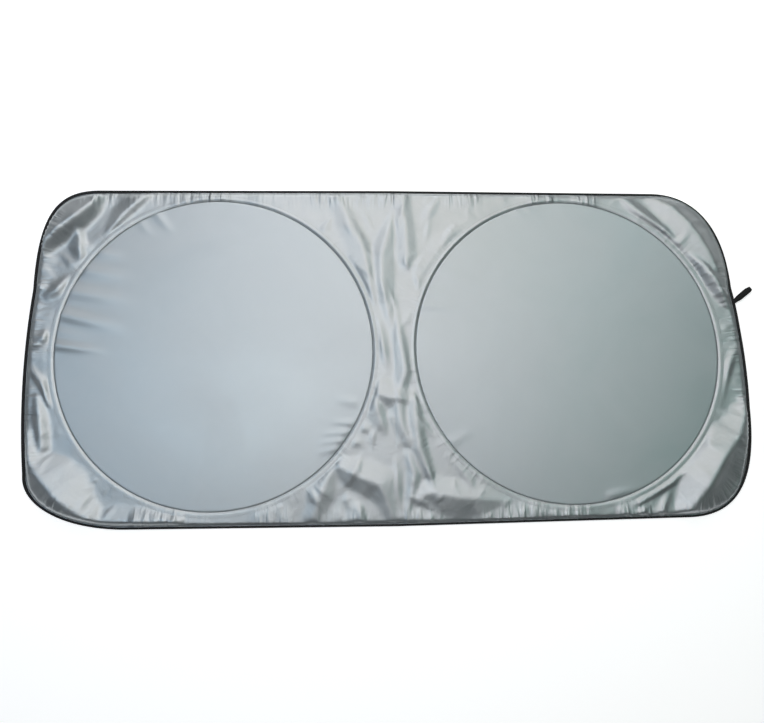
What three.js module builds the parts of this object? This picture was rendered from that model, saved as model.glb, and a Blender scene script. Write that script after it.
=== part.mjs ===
// Pop-up windscreen sunshade, opened out and lying with its silver side up.
// Two sprung wire hoops in sewn sleeves hold two round panels taut. A slack surround panel joins
// them into one oblong with a bound edge, and an elastic loop on that edge holds the folded shade.
import * as THREE from "three";

// Sprung hoops, measured at the middle of the wire. They sit a little nearer to the top edge.
const hoopDiameter = 650;
const hoopGap = 78;
const hoopOffsetY = 4;

// Slack cloth beyond the hoops, binding included. The open shade lies 1484 long and 700 wide, and its
// cloth is cut 1500 long.
const shortEdgeMargin = 53;
const longEdgeMargin = 25;

// Each corner of the oblong as it lies: how far it reaches along the long and the short edge and how
// far the slack cloth pulls it in, in hundredths of the hoop's radius, and how full the curve is
const corners = {
  topLeft: { reachX: 40, reachY: 66.5, insetX: 2.5, insetY: 0.6, fullness: 0.71 },
  bottomLeft: { reachX: 67.7, reachY: 34.5, insetX: 3.7, insetY: 1.5, fullness: 0.54 },
  bottomRight: { reachX: 47, reachY: 69.5, insetX: 0, insetY: 1.5, fullness: 0.68 },
  topRight: { reachX: 54, reachY: 66.5, insetX: 4.3, insetY: 1.2, fullness: 0.6 },
};

// Cloth of the three panels
const clothThickness = 0.4;
const sewingClearance = 0.3;

// Spring wire of the hoops
const wireDiameter = 2.8;
const wireSides = 6;
const wireEndGap = 1;

// Crimped ferrule that joins the two ends of each hoop
const ferruleLength = 18;
const ferruleWall = 0.4;
const ferruleClearance = 0.2;
const ferruleSides = 16;
const ferruleAngle = THREE.MathUtils.degToRad(-90);

// Sleeve that is sewn behind each hoop as a tunnel for the wire
const sleeveThickness = 0.5;
const outerSeamAllowance = 4.2;
const innerSeamAllowance = 8;
const seamInset = 3.2;

// Edge binding, a tape folded over the cloth
const bindingWidth = 8;
const bindingThickness = 0.6;

// Elastic loop, sewn to both faces of the binding on the right-hand edge
const loopPlaceY = 103;
const loopLength = 47;
const loopAngle = THREE.MathUtils.degToRad(38);
const elasticWidth = 12;
const elasticThickness = 1.2;
const loopOpening = 6.4;
const loopOverlap = 7;
const loopSeatEase = 60;
const loopSteps = 9;

// Spacing of the facets
const edgeStep = 46;
const cornerStep = 22;
const waistStep = 29;
const foldStep = 17;
const leastWaistSteps = 6;

// Folds of the slack surround, in hundredths of the hoop's radius. A crest is a line of points, each
// with its place and its height. The cloth slopes down on either side, and left and right, seen along
// the crest, are how far it runs out for each unit that it falls.
const foldsBetweenHoops = [
  {
    crest: [[-34, 102, 2.8], [-27, 85, 4], [-20, 71, 4.6], [-16, 55, 4.6], [-14, 42, 3.7], [-12, 22, 0]],
    left: 1.1,
    right: 2.6,
  },
  {
    crest: [[1, 94, 1.2], [-3, 77, 3.7], [-7, 63, 5.2], [-7, 46, 5.2], [-1, 10, 0]],
    left: 1.6,
    right: 1.7,
  },
  { crest: [[8, 104, 2.8], [9, 85, 3.7], [10, 66, 4], [10, 58, 3.1]], left: 1.5, right: 2.4 },
  { crest: [[32, 103, 1.5], [25, 92, 2.2], [18, 82, 0]], left: 1.4, right: 2.2 },
  { crest: [[52, 88, 0.9], [31, 69, 1.5], [19, 51, 1.5], [16, 41, 0]], left: 2.2, right: 5 },
  { crest: [[-12, 25, 0.9], [-10, 12, 2.5], [-7, 0, 2.8], [-4, -13, 0.6]], left: 1.2, right: 1.6 },
  { crest: [[2, 25, 1.2], [4, 8, 3.7], [7, -13, 4.3], [4, -23, 3.7], [2, -31, 0.9]], left: 1, right: 1.6 },
  {
    crest: [[-18, -22, 2.8], [-10, -28, 4.3], [-2, -30, 4.9], [4, -31, 4.6], [9, -32, 2.2]],
    left: 2.6,
    right: 1.3,
  },
  { crest: [[-16, -26, 2.8], [-12, -35, 4], [-9, -46, 3.1], [-6, -55, 0]], left: 1.3, right: 2.2 },
  { crest: [[2, -34, 3.7], [4, -46, 3.7], [8, -58, 2.8], [12, -69, 0]], left: 1.2, right: 1.8 },
  {
    crest: [[12, -32, 3.4], [13, -46, 4.6], [15, -62, 4.6], [20, -76, 3.4], [24, -89, 0.6]],
    left: 1,
    right: 1.8,
  },
  { crest: [[38, -71, 1.5], [46, -84, 2.5], [52, -93, 1.5]], left: 1.1, right: 1.8 },
  {
    crest: [
      [-39, -70, 2.2], [-29, -76, 4.6], [-18, -81, 5.5],
      [-10, -84, 5.5], [-6, -94, 4], [-3, -105, 2.2],
    ],
    left: 2.4,
    right: 1.3,
  },
  { crest: [[-40, -73, 2.2], [-46, -88, 4.3], [-52, -103, 2.8]], left: 1.7, right: 2 },
  { crest: [[-28, -90, 0.3], [-25, -97, 2.2], [-23, -104, 2.5]], left: 1.5, right: 2.6 },
  { crest: [[0, -69, 1.2], [0, -85, 2.5], [2, -104, 1.2]], left: 1.2, right: 1.8 },
  { crest: [[8, -66, 2.5], [11, -78, 3.4], [9, -91, 2.8], [4, -104, 1.2]], left: 1.4, right: 1.5 },
  {
    crest: [[14, -91, 2.5], [23, -89, 4.3], [38, -93, 4.6], [52, -94, 3.7], [73, -95, 0]],
    left: 2.4,
    right: 1.6,
  },
  { crest: [[-31, -59, 1.5], [-25, -58, 2.2], [-19, -60, 0]], left: 1.6, right: 1 },
  { crest: [[-26, -50, 0.9], [-20, -49, 2.2], [-14, -52, 0]], left: 1.8, right: 1.2 },
];
const foldsAtLeftHoop = [
  {
    crest: [
      [-114, 63, 1.2], [-109, 75, 3.7], [-102, 83, 6.2],
      [-94, 90, 7.4], [-87, 98, 6.2], [-83, 105, 3.4],
    ],
    left: 1.8,
    right: 1.6,
  },
  { crest: [[-68, 79, 1.5], [-62, 89, 2.8], [-54, 97, 3.1], [-45, 104, 1.8]], left: 3, right: 1.1 },
  { crest: [[-88, 81, 1.8], [-87, 69, 3.1], [-85, 58, 1.2]], left: 1.3, right: 2.6 },
  { crest: [[-113, 53, 1.8], [-105, 55, 0]], left: 1.5, right: 1.1 },
  { crest: [[-113, 41, 2.5], [-103, 44, 0]], left: 1.8, right: 1.2 },
  { crest: [[-113, 30, 1.8], [-105, 32, 0]], left: 1.5, right: 1.1 },
  { crest: [[-105, 35, 1.2], [-99, 41, 2.8], [-92, 47, 1.2]], left: 2.4, right: 1.4 },
  { crest: [[-111, 6, 1.8], [-104, 10, 2.8], [-98, 12, 0.9]], left: 2.2, right: 1.4 },
  { crest: [[-112, -10, 1.5], [-105, -20, 2.8], [-100, -31, 2.2]], left: 1.5, right: 1.1 },
  { crest: [[-107, -27, 1.5], [-105, -42, 3.1], [-103, -58, 3.1], [-105, -74, 0.9]], left: 1.6, right: 2 },
  {
    crest: [
      [-113, -51, 2.5], [-109, -68, 4.3], [-103, -77, 6.2],
      [-92, -89, 6.8], [-80, -98, 4.9], [-68, -103, 2.5],
    ],
    left: 2.8,
    right: 1.2,
  },
  { crest: [[-68, -103, 2.2], [-48, -104, 2.5], [-23, -104, 1.8]], left: 4, right: 1 },
  { crest: [[-66, -97, 0.6], [-60, -104, 1.8]], left: 1.2, right: 1.5 },
  { crest: [[-52, -96, 0.6], [-47, -104, 1.8]], left: 1.2, right: 1.5 },
];
const foldsAtRightHoop = [
  { crest: [[43, 103, 1.8], [60, 88, 2.8], [72, 78, 3.1], [83, 62, 1.2]], left: 2.4, right: 1.6 },
  {
    crest: [[73, 104, 2.2], [83, 97, 4.6], [93, 86, 5.5], [100, 73, 5.2], [105, 60, 4], [108, 46, 1.5]],
    left: 1.4,
    right: 3,
  },
  {
    crest: [[87, 63, 2.5], [96, 56, 4.6], [103, 45, 5.2], [108, 31, 3.1], [110, 23, 0]],
    left: 2,
    right: 1.1,
  },
  { crest: [[111, -2, 1.2], [104, -16, 2.5], [98, -30, 2.5], [92, -46, 0.9]], left: 1.2, right: 1.5 },
  {
    crest: [[116, -37, 2.8], [109, -56, 6.2], [98, -70, 8], [85, -89, 8], [71, -103, 4]],
    left: 1.5,
    right: 2.3,
  },
  { crest: [[91, -54, 1.2], [80, -67, 2.2], [62, -85, 2.5], [39, -98, 1.8]], left: 0.9, right: 2 },
  { crest: [[111, -76, 1.2], [104, -90, 2.2], [94, -99, 1.2]], left: 1, right: 1.2 },
  { crest: [[72, -87, 0.9], [68, -103, 2.5]], left: 1.2, right: 2 },
  { crest: [[59, -92, 0.9], [54, -104, 2.2]], left: 1.2, right: 2 },
  { crest: [[46, -98, 0.6], [41, -104, 1.8]], left: 1.2, right: 2 },
];

// Strips beside the hoop and beside the binding in which the folds flatten out
const hoopEase = 8;
const bandEase = 12;

// Heights above the floor, and the places that follow from the sizes above
const hoopRadius = hoopDiameter / 2;
const hoopCentreX = hoopRadius + hoopGap / 2;
const foldUnit = hoopRadius / 100;
const length = 2 * (hoopDiameter + shortEdgeMargin) + hoopGap;
const width = hoopDiameter + 2 * longEdgeMargin;
const wireRadius = wireDiameter / 2;
const ferruleInnerRadius = wireRadius + ferruleClearance;
const ferruleRadius = ferruleInnerRadius + ferruleWall;
const tunnelRadius = ferruleRadius + sewingClearance;
const wireHeight = sleeveThickness + tunnelRadius;
const sleeveTop = wireHeight;
const seamHeight = sleeveTop + sewingClearance;
const tunnelTop = wireHeight + tunnelRadius;
const seamRadius = hoopRadius - tunnelRadius - seamInset;
const ridgeFootRadius = hoopRadius + tunnelRadius + outerSeamAllowance + sewingClearance;
const panelRadius = seamRadius - sewingClearance;
const edgeClothHeight = bindingThickness + sewingClearance;
const bindingHeight = 2 * edgeClothHeight + clothThickness;
const clothEdgeInset = bindingThickness + sewingClearance;
const bandInset = bindingWidth + sewingClearance;
const loopSeatLift = elasticThickness + sewingClearance;

const smooth = (t) => {
  const u = THREE.MathUtils.clamp(t, 0, 1);
  return u * u * (3 - 2 * u);
};

// Half of the outline, from the middle of one long edge round to the middle of the other, as a list
// of curves. side is -1 for the left half and 1 for the right half.
function halfOutline(side, first, second) {
  const halfLength = length / 2;
  const halfWidth = width / 2;
  const onLongEdge = ({ reachX, insetY }, top) =>
    new THREE.Vector2(side * (halfLength - reachX * foldUnit), top * (halfWidth - insetY * foldUnit));
  const onShortEdge = ({ reachY, insetX }, top) =>
    new THREE.Vector2(side * (halfLength - insetX * foldUnit), top * (halfWidth - reachY * foldUnit));
  const start = -side;
  const round = ({ reachX, reachY, fullness }, top, from, to) => {
    const alongX = new THREE.Vector2(side * reachX * foldUnit * fullness, 0);
    const alongY = new THREE.Vector2(0, top * reachY * foldUnit * fullness);
    const fromLongEdge = top === start;
    const [ease, arrive] = fromLongEdge ? [alongX, alongY] : [alongY, alongX];
    return new THREE.CubicBezierCurve(from, from.clone().add(ease), to.clone().add(arrive), to);
  };
  const firstLong = onLongEdge(first, start);
  const firstShort = onShortEdge(first, start);
  const secondShort = onShortEdge(second, -start);
  const secondLong = onLongEdge(second, -start);
  const bow = new THREE.Vector2(
    2 * side * halfLength - (firstShort.x + secondShort.x) / 2,
    (firstShort.y + secondShort.y) / 2,
  );
  return [
    [new THREE.LineCurve(new THREE.Vector2(0, start * halfWidth), firstLong), edgeStep],
    [round(first, start, firstLong, firstShort), cornerStep],
    [new THREE.QuadraticBezierCurve(firstShort, bow, secondShort), edgeStep],
    [round(second, -start, secondShort, secondLong), cornerStep],
    [new THREE.LineCurve(secondLong, new THREE.Vector2(0, -start * halfWidth)), edgeStep],
  ];
}

// Points along a list of curves, each with the direction that points into the cloth
function walkOutline(pieces) {
  const stations = [];
  for (const [curve, step] of pieces) {
    const steps = Math.max(2, Math.round(curve.getLength() / step));
    for (let i = 0; i <= steps; i += 1) {
      const point = curve.getPointAt(i / steps);
      const tangent = curve.getTangentAt(i / steps);
      if (stations.length === 0 || point.distanceTo(stations.at(-1).point) > 1) {
        stations.push({ point, inward: new THREE.Vector2(-tangent.y, tangent.x) });
      }
    }
  }
  for (const end of [stations[0], stations.at(-1)]) {
    end.point.x = 0;
    end.inward.set(0, -Math.sign(end.point.y));
  }
  return stations;
}

const insetPoint = (station, inset) => station.point.clone().addScaledVector(station.inward, inset);

const leftStations = walkOutline(halfOutline(-1, corners.topLeft, corners.bottomLeft));
const rightStations = walkOutline(halfOutline(1, corners.bottomRight, corners.topRight));
const bandPath = [...leftStations, ...rightStations].map((station) => insetPoint(station, bandInset));
const loopStation = rightStations.findIndex((station) => station.point.y > loopPlaceY);
const belowLoop = rightStations[loopStation - 1].point;
const aboveLoop = rightStations[loopStation].point;
const loopRoot = belowLoop
  .clone()
  .lerp(aboveLoop, (loopPlaceY - belowLoop.y) / (aboveLoop.y - belowLoop.y));

// Nearest place on a line of points: how far it is, whether it is passed on its left, which span of
// the line it lies on and what share of that span lies before it
function nearestOnPath(x, y, path) {
  let best = { distance: Infinity };
  for (let i = 0; i + 1 < path.length; i += 1) {
    const [ax, ay] = path[i];
    const [dx, dy] = [path[i + 1][0] - ax, path[i + 1][1] - ay];
    const share = THREE.MathUtils.clamp(((x - ax) * dx + (y - ay) * dy) / (dx * dx + dy * dy), 0, 1);
    const distance = Math.hypot(x - ax - share * dx, y - ay - share * dy);
    if (distance < best.distance) {
      best = { distance, onLeft: dx * (y - ay) > dy * (x - ax), span: i, share };
    }
  }
  return best;
}

const bandLoop = [...bandPath, bandPath[0]].map((point) => point.toArray());
const fromBand = (x, y) => nearestOnPath(x, y, bandLoop).distance;
const fromSleeve = (x, y) => Math.hypot(Math.abs(x) - hoopCentreX, y - hoopOffsetY) - ridgeFootRadius;

// Height of the highest of some folds at a place, all in hundredths of the hoop's radius
function highestFold(x, y, folds) {
  const heights = folds.map(({ crest, left, right }) => {
    const { distance, onLeft, span, share } = nearestOnPath(x, y, crest);
    const crestHeight = THREE.MathUtils.lerp(crest[span][2], crest[span + 1][2], share);
    return crestHeight - distance / (onLeft ? left : right);
  });
  return Math.max(0, ...heights);
}

// Height that the folds add at a place
function foldHeight(x, y) {
  const up = (y - hoopOffsetY) / foldUnit;
  return (
    foldUnit *
    Math.max(
      highestFold(x / foldUnit, up, foldsBetweenHoops),
      highestFold((x + hoopCentreX) / foldUnit, up, foldsAtLeftHoop),
      highestFold((x - hoopCentreX) / foldUnit, up, foldsAtRightHoop),
    )
  );
}

// The edge lifts a little where the elastic loop is sewn under it
const edgeLift = (x, y) => {
  const away = Math.hypot(x - loopRoot.x, y - loopRoot.y) - elasticWidth;
  return loopSeatLift * (1 - smooth(away / loopSeatEase));
};

// Height of the underside of the surround
function surroundHeight(x, y) {
  const hoopSide = Math.max(0, fromSleeve(x, y));
  const bandSide = fromBand(x, y);
  const edge = edgeClothHeight + edgeLift(x, y);
  const level = seamHeight + (edge - seamHeight) * smooth(hoopSide / (hoopSide + bandSide + 1e-6));
  return level + foldHeight(x, y) * smooth(hoopSide / hoopEase) * smooth(bandSide / bandEase);
}

// A sheet of cloth: points on its underside, and triangles that face up
function makeSheet() {
  const points = [];
  const triangles = [];
  const numbers = new Map();
  const numberOf = (point) => {
    const key = point.toArray().map((value) => value.toFixed(3)).join();
    if (!numbers.has(key)) {
      numbers.set(key, points.length);
      points.push(point);
    }
    return numbers.get(key);
  };
  const add = (a, b, c) => {
    const facesUp = (b.x - a.x) * (c.y - a.y) - (c.x - a.x) * (b.y - a.y) > 0;
    triangles.push((facesUp ? [a, b, c] : [c, b, a]).map(numberOf));
  };
  return { points, triangles, add };
}

// Fills the strip between two rows of points. Each point knows how far along its row it lies.
function joinRows(sheet, rowA, rowB) {
  let i = 0;
  let j = 0;
  while (i + 1 < rowA.length || j + 1 < rowB.length) {
    const nextA = i + 1 < rowA.length ? rowA[i + 1].along : Infinity;
    const nextB = j + 1 < rowB.length ? rowB[j + 1].along : Infinity;
    if (nextA <= nextB) {
      sheet.add(rowA[i].point, rowA[i + 1].point, rowB[j].point);
      i += 1;
    } else {
      sheet.add(rowA[i].point, rowB[j + 1].point, rowB[j].point);
      j += 1;
    }
  }
}

function geometryOf(points, triangles) {
  const geometry = new THREE.BufferGeometry();
  const values = points.flatMap((point) => point.toArray());
  geometry.setAttribute("position", new THREE.Float32BufferAttribute(values, 3));
  geometry.setIndex(triangles.flat());
  geometry.computeVertexNormals();
  return geometry;
}

// Gives a sheet its thickness: a copy of it above, and a wall along every open edge
function thicken(sheet, thickness) {
  const count = sheet.points.length;
  const raised = sheet.points.map((point) => point.clone().setZ(point.z + thickness));
  const upper = sheet.triangles.map((corner) => corner.map((n) => n + count));
  const lower = sheet.triangles.map(([a, b, c]) => [c, b, a]);
  const edges = new Set(sheet.triangles.flatMap(([a, b, c]) => [`${a},${b}`, `${b},${c}`, `${c},${a}`]));
  const walls = [];
  for (const edge of edges) {
    const [a, b] = edge.split(",").map(Number);
    if (!edges.has(`${b},${a}`)) walls.push([a, b, b + count], [a, b + count, a + count]);
  }
  return geometryOf([...sheet.points, ...raised], [...lower, ...upper, ...walls]);
}

// Joins a row of like sections into one solid, either round a loop or with flat ends
function loft(sections, looped) {
  const around = sections[0].length;
  const points = sections.flat();
  const triangles = [];
  const spans = looped ? sections.length : sections.length - 1;
  for (let i = 0; i < spans; i += 1) {
    for (let j = 0; j < around; j += 1) {
      const here = i * around;
      const there = ((i + 1) % sections.length) * around;
      const next = (j + 1) % around;
      triangles.push([here + j, here + next, there + next], [here + j, there + next, there + j]);
    }
  }
  if (!looped) {
    const last = (sections.length - 1) * around;
    for (let j = 1; j + 1 < around; j += 1) {
      triangles.push([0, j + 1, j], [last, last + j, last + j + 1]);
    }
  }
  const volume = triangles.reduce(
    (sum, [a, b, c]) => sum + points[a].dot(new THREE.Vector3().crossVectors(points[b], points[c])),
    0,
  );
  return geometryOf(points, volume > 0 ? triangles : triangles.map(([a, b, c]) => [c, b, a]));
}

// One row of the surround, from the seam over the tunnel of the wire and out to its end. A row ends
// in the binding, or at the waist, where it meets the row of the other half.
function surroundRow(centreX, bandPoint, edgePoint) {
  const away = Math.atan2(bandPoint.y - hoopOffsetY, bandPoint.x - centreX);
  const onHoop = (radius, height) =>
    new THREE.Vector3(centreX + radius * Math.cos(away), hoopOffsetY + radius * Math.sin(away), height);
  const row = [
    { point: onHoop(seamRadius, seamHeight), along: 0 },
    { point: onHoop(hoopRadius - tunnelRadius, tunnelTop), along: 0.01 },
    { point: onHoop(hoopRadius + tunnelRadius, tunnelTop), along: 0.02 },
    { point: onHoop(ridgeFootRadius, seamHeight), along: 0.03 },
  ];
  const foot = row.at(-1).point;
  const span = Math.hypot(bandPoint.x - foot.x, bandPoint.y - foot.y);
  const least = bandPoint.x === 0 ? leastWaistSteps : 1;
  const steps = Math.max(least, Math.round(span / foldStep));
  for (let i = 1; i <= steps; i += 1) {
    const x = THREE.MathUtils.lerp(foot.x, bandPoint.x, i / steps);
    const y = THREE.MathUtils.lerp(foot.y, bandPoint.y, i / steps);
    row.push({ point: new THREE.Vector3(x, y, surroundHeight(x, y)), along: 0.03 + (0.95 * i) / steps });
  }
  const inner = [...row];
  if (edgePoint) {
    const height = edgeClothHeight + edgeLift(edgePoint.x, edgePoint.y);
    row.push({ point: new THREE.Vector3(edgePoint.x, edgePoint.y, height), along: 1 });
  }
  return { row, inner, away };
}

// The rows of one half, once round its hoop
function surroundRows(side, stations) {
  const centreX = side * hoopCentreX;
  const toBinding = stations.map((station) =>
    surroundRow(centreX, insetPoint(station, bandInset), insetPoint(station, clothEdgeInset)),
  );
  const from = insetPoint(stations.at(-1), bandInset).y;
  const to = insetPoint(stations[0], bandInset).y;
  const steps = Math.round(Math.abs(to - from) / waistStep);
  const toWaist = [];
  for (let i = 1; i < steps; i += 1) {
    const y = THREE.MathUtils.lerp(from, to, i / steps);
    toWaist.push(surroundRow(centreX, new THREE.Vector2(0, y), null));
  }
  return { toBinding, toWaist };
}

const leftRows = surroundRows(-1, leftStations);
const rightRows = surroundRows(1, rightStations);

function surroundPanel() {
  const sheet = makeSheet();
  for (const { toBinding, toWaist } of [leftRows, rightRows]) {
    for (let i = 0; i + 1 < toBinding.length; i += 1) {
      joinRows(sheet, toBinding[i].row, toBinding[i + 1].row);
    }
    const waist = [toBinding.at(-1), ...toWaist, toBinding[0]];
    for (let i = 0; i + 1 < waist.length; i += 1) {
      joinRows(sheet, waist[i].inner, waist[i + 1].inner);
    }
  }
  return thicken(sheet, clothThickness);
}

// Directions from the middle of a hoop at which its pieces have their facets
const anglesOf = ({ toBinding, toWaist }) => [...toBinding, ...toWaist].map((row) => row.away);

const polar = (radius, angle, height) =>
  new THREE.Vector3(radius * Math.cos(angle), radius * Math.sin(angle), height);

// Round panel, held taut and flat just above the sleeve's border
function discPanel(angles) {
  const sheet = makeSheet();
  const middle = new THREE.Vector3(0, 0, seamHeight);
  for (let i = 0; i < angles.length; i += 1) {
    const next = angles[(i + 1) % angles.length];
    sheet.add(middle, polar(panelRadius, angles[i], seamHeight), polar(panelRadius, next, seamHeight));
  }
  return thicken(sheet, clothThickness);
}

// Sleeve: a strip with a trough for the wire between two flat borders, which are sewn to the panels
function sleeve(angles) {
  const troughFloor = tunnelRadius * 0.55;
  const inner = hoopRadius - tunnelRadius - innerSeamAllowance;
  const outer = hoopRadius + tunnelRadius + outerSeamAllowance;
  const profile = [
    [inner, sleeveTop],
    [inner, sleeveTop - sleeveThickness],
    [hoopRadius - tunnelRadius - sleeveThickness, sleeveTop - sleeveThickness],
    [hoopRadius - troughFloor - sleeveThickness / 2, 0],
    [hoopRadius + troughFloor + sleeveThickness / 2, 0],
    [hoopRadius + tunnelRadius + sleeveThickness, sleeveTop - sleeveThickness],
    [outer, sleeveTop - sleeveThickness],
    [outer, sleeveTop],
    [hoopRadius + tunnelRadius, sleeveTop],
    [hoopRadius + troughFloor, sleeveThickness],
    [hoopRadius - troughFloor, sleeveThickness],
    [hoopRadius - tunnelRadius, sleeveTop],
  ];
  return loft(angles.map((angle) => profile.map(([radius, height]) => polar(radius, angle, height))), true);
}

// The facet of a hoop that its ferrule sits on: the one nearest to the ferrule's angle
function ferruleFacet(angles) {
  const towards = polar(hoopRadius, ferruleAngle, wireHeight);
  const middles = angles.map((angle, i) => {
    const next = angles[(i + 1) % angles.length];
    return polar(hoopRadius, angle, wireHeight).lerp(polar(hoopRadius, next, wireHeight), 0.5);
  });
  const gaps = middles.map((middle) => middle.distanceTo(towards));
  return gaps.indexOf(Math.min(...gaps));
}

// Wire of a hoop: it runs once round, and its ends all but meet inside the ferrule
function hoopWire(angles) {
  const round = Array.from({ length: wireSides }, (_, k) => (2 * Math.PI * (k + 0.5)) / wireSides);
  const section = round.map((turn) => [wireRadius * Math.cos(turn), wireRadius * Math.sin(turn)]);
  const ring = angles.map((angle) =>
    section.map(([outward, up]) => polar(hoopRadius + outward, angle, wireHeight + up)),
  );
  const start = ferruleFacet(angles);
  const from = ring[start];
  const to = ring[(start + 1) % ring.length];
  const facet = from[0].distanceTo(to[0]);
  const between = (share) => from.map((point, k) => point.clone().lerp(to[k], share));
  const turned = [...ring.slice(start + 1), ...ring.slice(0, start + 1)];
  const halfGap = wireEndGap / 2 / facet;
  return loft([between(0.5 + halfGap), ...turned, between(0.5 - halfGap)], false);
}

function ferruleGeometry() {
  const half = ferruleLength / 2;
  const profile = [
    [ferruleInnerRadius, -half],
    [ferruleRadius, -half],
    [ferruleRadius, half],
    [ferruleInnerRadius, half],
    [ferruleInnerRadius, -half],
  ].map(([radius, height]) => new THREE.Vector2(radius, height));
  return new THREE.LatheGeometry(profile, ferruleSides);
}

function placeFerrule(mesh, angles) {
  const start = ferruleFacet(angles);
  const from = polar(hoopRadius, angles[start], wireHeight);
  const to = polar(hoopRadius, angles[(start + 1) % angles.length], wireHeight);
  mesh.position.copy(from).lerp(to, 0.5);
  mesh.quaternion.setFromUnitVectors(new THREE.Vector3(0, 1, 0), to.sub(from).normalize());
}

// Binding: one tape round the whole edge, folded over the cloth with a leaf on each face
function edgeBinding() {
  const stations = [...leftStations.slice(0, -1), ...rightStations.slice(0, -1)];
  const profile = [
    [bindingWidth, 0],
    [0, 0],
    [0, bindingHeight],
    [bindingWidth, bindingHeight],
    [bindingWidth, bindingHeight - bindingThickness],
    [bindingThickness, bindingHeight - bindingThickness],
    [bindingThickness, bindingThickness],
    [bindingWidth, bindingThickness],
  ];
  const sections = stations.map((station) =>
    profile.map(([inset, height]) => {
      const point = insetPoint(station, inset);
      const lift = edgeLift(station.point.x, station.point.y);
      return new THREE.Vector3(point.x, point.y, height + lift);
    }),
  );
  return loft(sections, true);
}

// Elastic loop: a flat band that leaves the back of the binding, bends round at its tip and comes
// back over the front. It is modelled along +X from the edge of the cloth, then turned and placed.
function elasticLoop() {
  const lowerSeat = elasticThickness / 2;
  const upperSeat = lowerSeat + elasticThickness + 2 * sewingClearance + bindingHeight;
  const bendRadius = (loopOpening + elasticThickness) / 2;
  const bendHeight = bendRadius + lowerSeat;
  const tip = loopLength - bendRadius - elasticThickness / 2;
  const path = [
    [-loopOverlap, lowerSeat],
    [0, lowerSeat],
    [tip, lowerSeat],
  ];
  for (let i = 1; i < loopSteps; i += 1) {
    const turn = -Math.PI / 2 + (Math.PI * i) / loopSteps;
    path.push([tip + bendRadius * Math.cos(turn), bendHeight + bendRadius * Math.sin(turn)]);
  }
  path.push([tip, bendHeight + bendRadius], [tip * 0.45, bendHeight + bendRadius * 0.75]);
  path.push([2, upperSeat], [-loopOverlap, upperSeat]);
  const sections = path.map(([x, z], i) => {
    const before = path[Math.max(0, i - 1)];
    const after = path[Math.min(path.length - 1, i + 1)];
    const along = new THREE.Vector2(after[0] - before[0], after[1] - before[1]).normalize();
    const [outX, outZ] = [(along.y * elasticThickness) / 2, (-along.x * elasticThickness) / 2];
    const half = elasticWidth / 2;
    return [
      new THREE.Vector3(x + outX, -half, z + outZ),
      new THREE.Vector3(x + outX, half, z + outZ),
      new THREE.Vector3(x - outX, half, z - outZ),
      new THREE.Vector3(x - outX, -half, z - outZ),
    ];
  });
  return loft(sections, false);
}

// Materials
const finish = (color, roughness, metalness) =>
  new THREE.MeshStandardMaterial({ color, roughness, metalness });
const silverCloth = () => finish(0xb3bcc0, 0.45, 0.55);
const sleeveCloth = () => finish(0xa3abaf, 0.6, 0.3);
const springSteel = () => finish(0x8d9093, 0.3, 1);
const blackTape = () => finish(0x17161a, 0.85, 0);
const blackElastic = () => finish(0x121210, 0.9, 0);

function namedMesh(name, geometry, material) {
  const mesh = new THREE.Mesh(geometry, material);
  mesh.name = name;
  return mesh;
}

// The pieces of one hoop, about the middle of the hoop
function hoopGroup(prefix, side, rows) {
  const angles = anglesOf(rows);
  const group = new THREE.Group();
  const ferrule = namedMesh(`${prefix}_ferrule`, ferruleGeometry(), springSteel());
  placeFerrule(ferrule, angles);
  group.add(
    namedMesh(`${prefix}_disc`, discPanel(angles), silverCloth()),
    namedMesh(`${prefix}_sleeve`, sleeve(angles), sleeveCloth()),
    namedMesh(`${prefix}_hoop`, hoopWire(angles), springSteel()),
    ferrule,
  );
  group.position.set(side * hoopCentreX, hoopOffsetY, 0);
  return group;
}

const shade = new THREE.Group();
shade.add(
  namedMesh("surround_panel", surroundPanel(), silverCloth()),
  namedMesh("edge_binding", edgeBinding(), blackTape()),
  hoopGroup("left", -1, leftRows),
  hoopGroup("right", 1, rightRows),
);

const loop = namedMesh("elastic_loop", elasticLoop(), blackElastic());
loop.position.set(loopRoot.x, loopRoot.y, 0);
loop.rotation.z = loopAngle;
shade.add(loop);

// The frame's origin lies on the floor under the middle of the overall length and width
const loopTipX = loopRoot.x + loopLength * Math.cos(loopAngle) + (elasticWidth / 2) * Math.sin(loopAngle);
shade.position.x = -(Math.max(length / 2, loopTipX) - length / 2) / 2;

const sunshade = new THREE.Group();
sunshade.add(shade);

export default sunshade;
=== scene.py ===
# %% [markdown]
# # Windscreen sunshade, dressed
# The object is a pop-up windscreen sunshade that lies open with its silver side up. Two sprung wire
# hoops hold two round panels taut, and a slack surround joins them into one oblong with a black
# edge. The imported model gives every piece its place, and this lesson gives each one its finish.

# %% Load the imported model
import math

import bpy
import numpy as np
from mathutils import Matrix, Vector
from mathutils.bvhtree import BVHTree


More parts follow.
